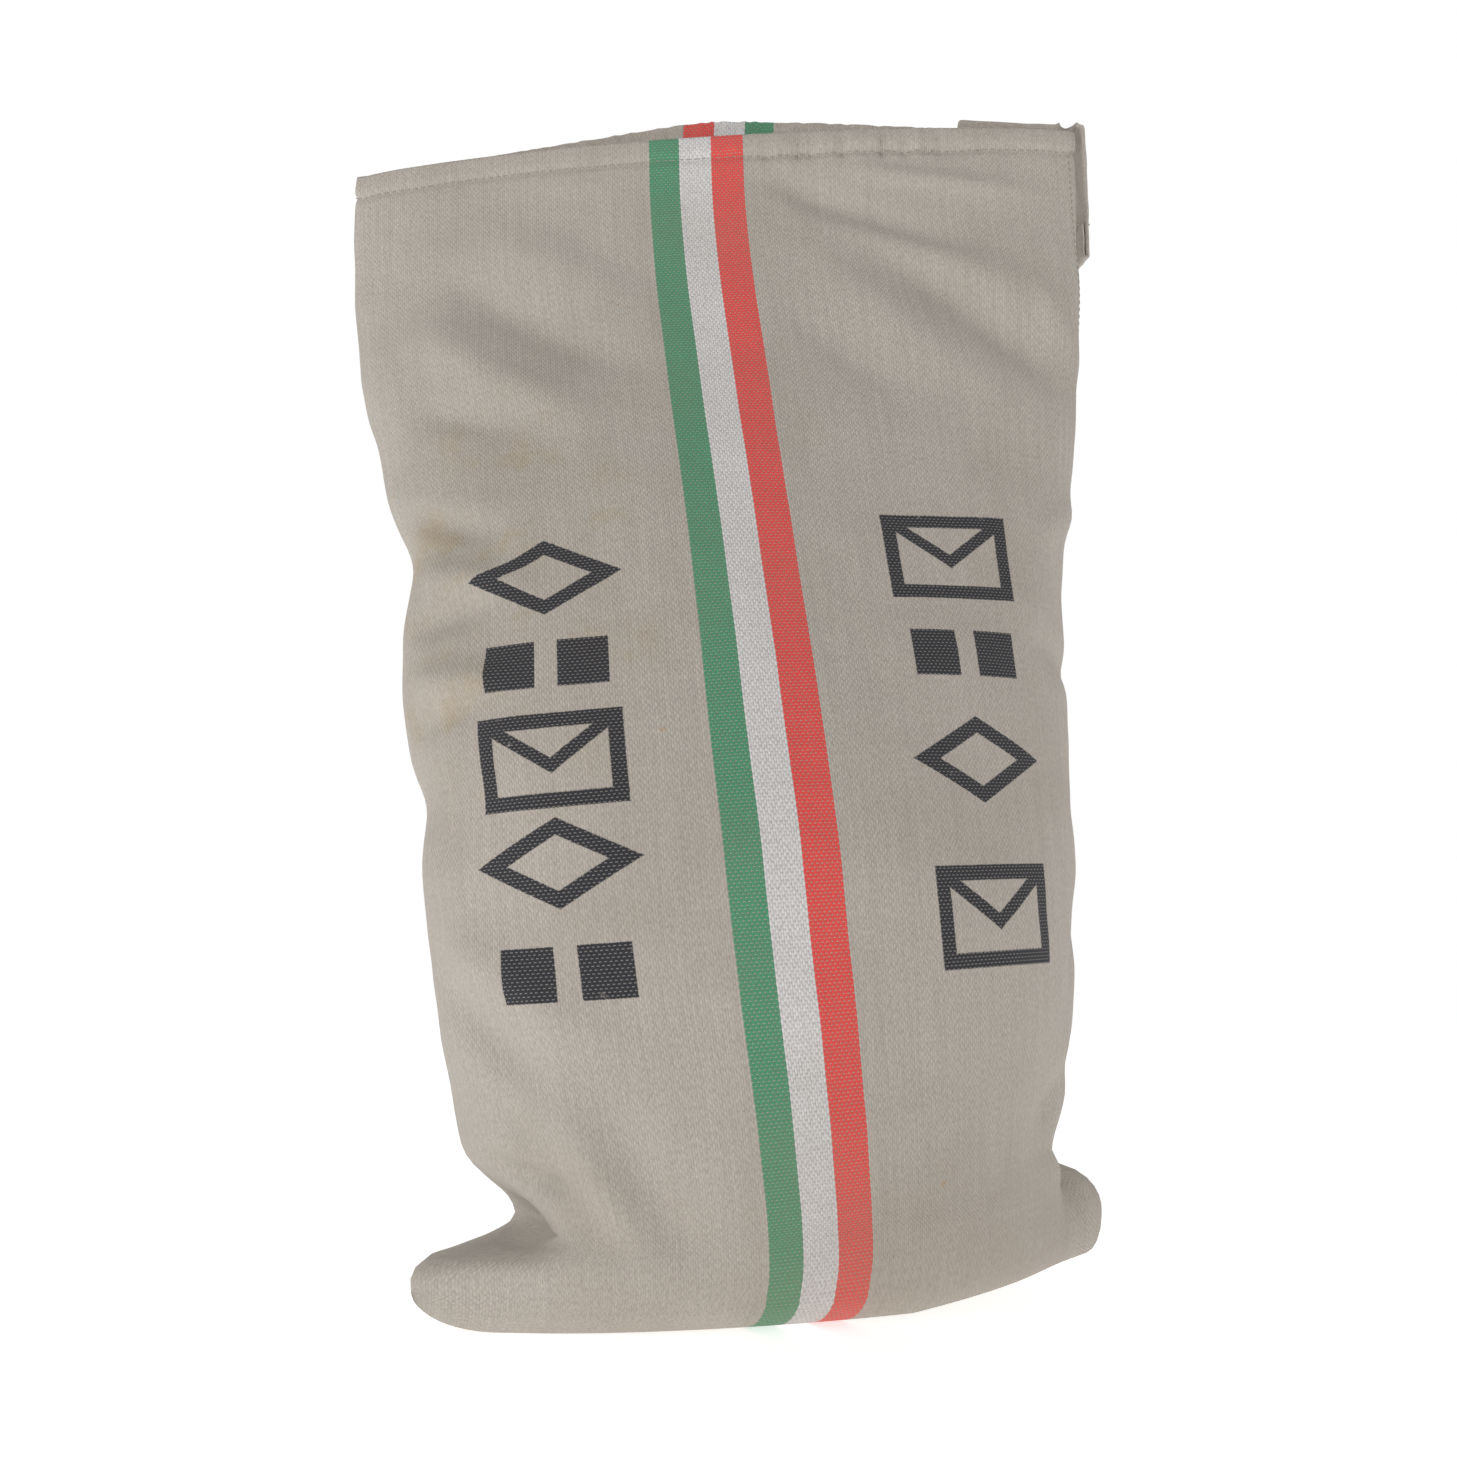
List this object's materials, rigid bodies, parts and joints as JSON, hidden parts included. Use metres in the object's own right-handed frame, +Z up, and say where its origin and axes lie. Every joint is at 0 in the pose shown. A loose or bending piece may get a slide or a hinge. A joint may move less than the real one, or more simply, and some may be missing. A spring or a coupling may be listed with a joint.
{
  "type": "mail sack",
  "caption": "Filled canvas mail sack standing on its bottom, with a woven stripe, a turned-in mouth hem that opens and a closing strap that swings at one corner.",
  "frame": {"origin": "on the floor, in the middle of the sack's flat bottom", "axes": "+Z up along the sack's length, +X to the right of the printed front, +Y to the back"},
  "size_m": [0.6122, 0.3075, 0.9592],
  "materials": {
    "canvas": "plain woven natural canvas, with woven green, white and red warp stripes and dark printed marks",
    "thread": "waxed sewing thread",
    "strap_canvas": "doubled woven canvas strip"
  },
  "bodies": {
    "root": {"sack_cloth": "canvas", "mouth_hem": "canvas", "mouth_hem_thread": "thread", "side_seam_allowance": "canvas", "side_seam_thread": "thread", "bottom_seam_allowance": "canvas", "bottom_seam_thread": "thread", "closing_strap_root": "strap_canvas", "closing_strap_bend": "strap_canvas", "closing_strap_root_thread": "thread"},
    "mouth_front": {"mouth_front_cloth": "canvas", "mouth_front_hem": "canvas", "mouth_front_thread": "thread"},
    "closing_strap": {"closing_strap_tail": "strap_canvas", "closing_strap_turned_end": "strap_canvas", "closing_strap_end_thread": "thread"}
  },
  "joints": [
    {"name": "mouth_open", "type": "hinge", "parent": "root", "child": "mouth_front", "pos_m": [-0.03, -0.0585, 0.56], "axis": [1, 0, 0], "range_deg": [0, 10]},
    {"name": "strap_swing", "type": "hinge", "parent": "root", "child": "closing_strap", "pos_m": [0.279, 0.108, 0.942], "axis": [0, -1, 0], "range_deg": [0, 120]}
  ]
}
